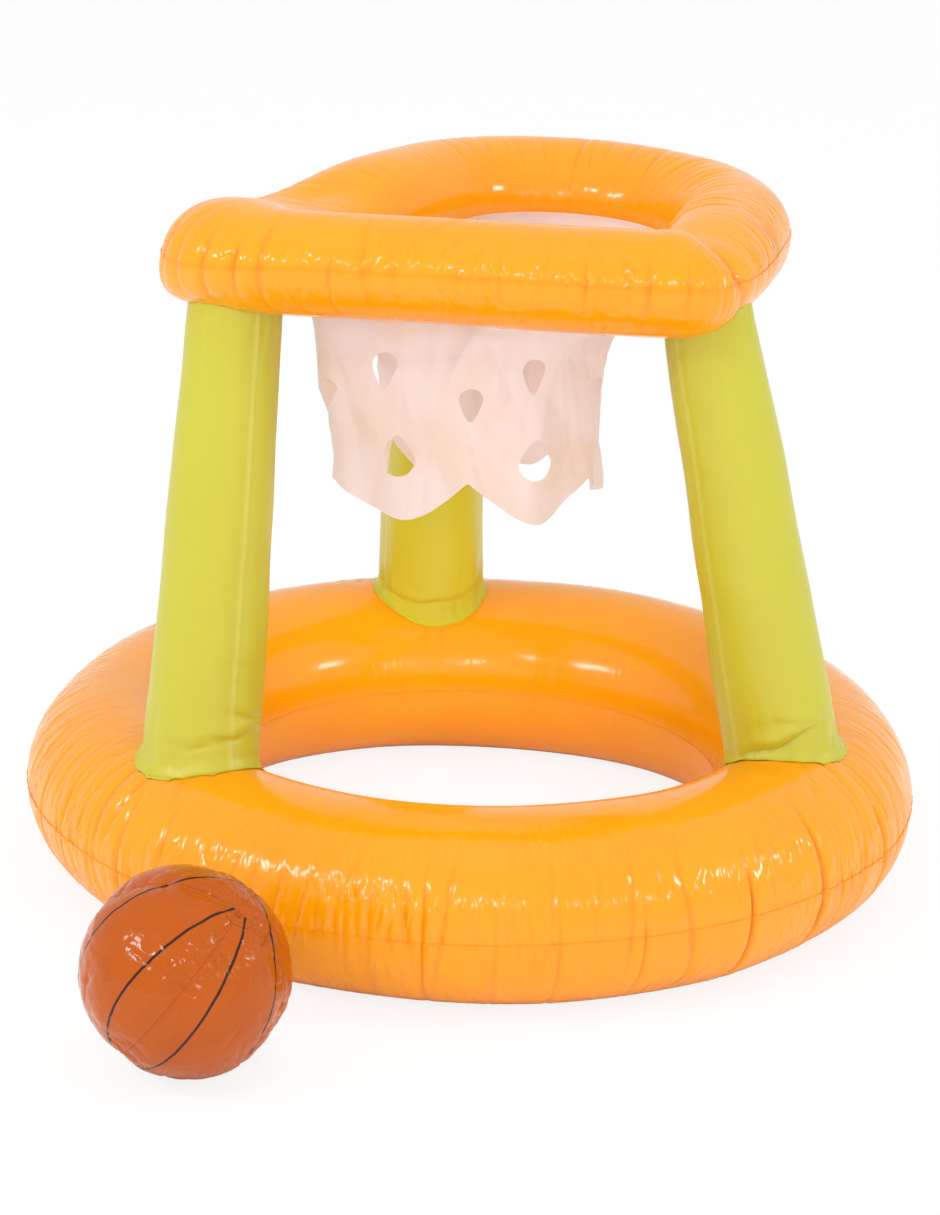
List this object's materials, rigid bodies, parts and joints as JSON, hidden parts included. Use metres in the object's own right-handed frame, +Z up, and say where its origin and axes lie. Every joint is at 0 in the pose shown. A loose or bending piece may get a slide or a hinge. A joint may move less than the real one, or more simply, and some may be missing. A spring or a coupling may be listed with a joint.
{
  "type": "floating basketball hoop",
  "caption": "Inflatable floating basketball hoop: ring base, splayed inflated legs, inflated rounded-triangle hoop with a scalloped film net, air valves with stoppers, and a ball.",
  "frame": {"origin": "centre of the bounding box's underside, ball included, on the plane the base ring rests on", "axes": "+Z up, -Y towards the front with the ball and the hoop's straight side, +X to the viewer's right"},
  "size_m": [0.67, 0.7808, 0.5306],
  "materials": {
    "orange_vinyl": "glossy inflated PVC film",
    "yellow_green_vinyl": "satin inflated PVC film",
    "pale_net_film": "thin translucent soft film",
    "brown_ball_vinyl": "glossy printed PVC film",
    "moulded_valve_vinyl": "soft moulded clear-white PVC"
  },
  "bodies": {
    "frame": {"base_upper_film": "orange_vinyl", "base_lower_film": "orange_vinyl", "base_valve": "moulded_valve_vinyl", "leg_left_tube": "yellow_green_vinyl", "leg_left_foot_disc": "yellow_green_vinyl", "leg_right_tube": "yellow_green_vinyl", "leg_right_foot_disc": "yellow_green_vinyl", "leg_back_tube": "yellow_green_vinyl", "leg_back_foot_disc": "yellow_green_vinyl", "hoop_upper_film": "orange_vinyl", "hoop_lower_film": "orange_vinyl", "hoop_valve": "moulded_valve_vinyl", "net_film": "pale_net_film"},
    "ball": {"ball_gore_1": "brown_ball_vinyl", "ball_gore_2": "brown_ball_vinyl", "ball_gore_3": "brown_ball_vinyl", "ball_gore_4": "brown_ball_vinyl", "ball_upper_pole_patch": "brown_ball_vinyl", "ball_lower_pole_patch": "brown_ball_vinyl", "ball_valve": "moulded_valve_vinyl"},
    "base_stopper": {"base_valve_stopper": "moulded_valve_vinyl"},
    "hoop_stopper": {"hoop_valve_stopper": "moulded_valve_vinyl"},
    "ball_stopper": {"ball_valve_stopper": "moulded_valve_vinyl"}
  },
  "joints": [
    {"name": "ball_lift", "type": "slide", "parent": "frame", "child": "ball", "axis": [0, 0, 1], "range_m": [0, 0.6]},
    {"name": "base_valve_open", "type": "hinge", "parent": "frame", "child": "base_stopper", "pos_m": [0.15931, 0.33336, 0.10817], "axis": [-0.3358, -0.5374, 0.7736], "range_deg": [0, 135]},
    {"name": "hoop_valve_open", "type": "hinge", "parent": "frame", "child": "hoop_stopper", "pos_m": [0.11339, 0.24563, 0.50585], "axis": [-0.2307, -0.5791, 0.7819], "range_deg": [0, 135]},
    {"name": "ball_valve_open", "type": "hinge", "parent": "ball", "child": "ball_stopper", "pos_m": [-0.23939, -0.25042, 0.09627], "axis": [-0.0885, -0.3304, 0.9397], "range_deg": [0, 135]}
  ]
}
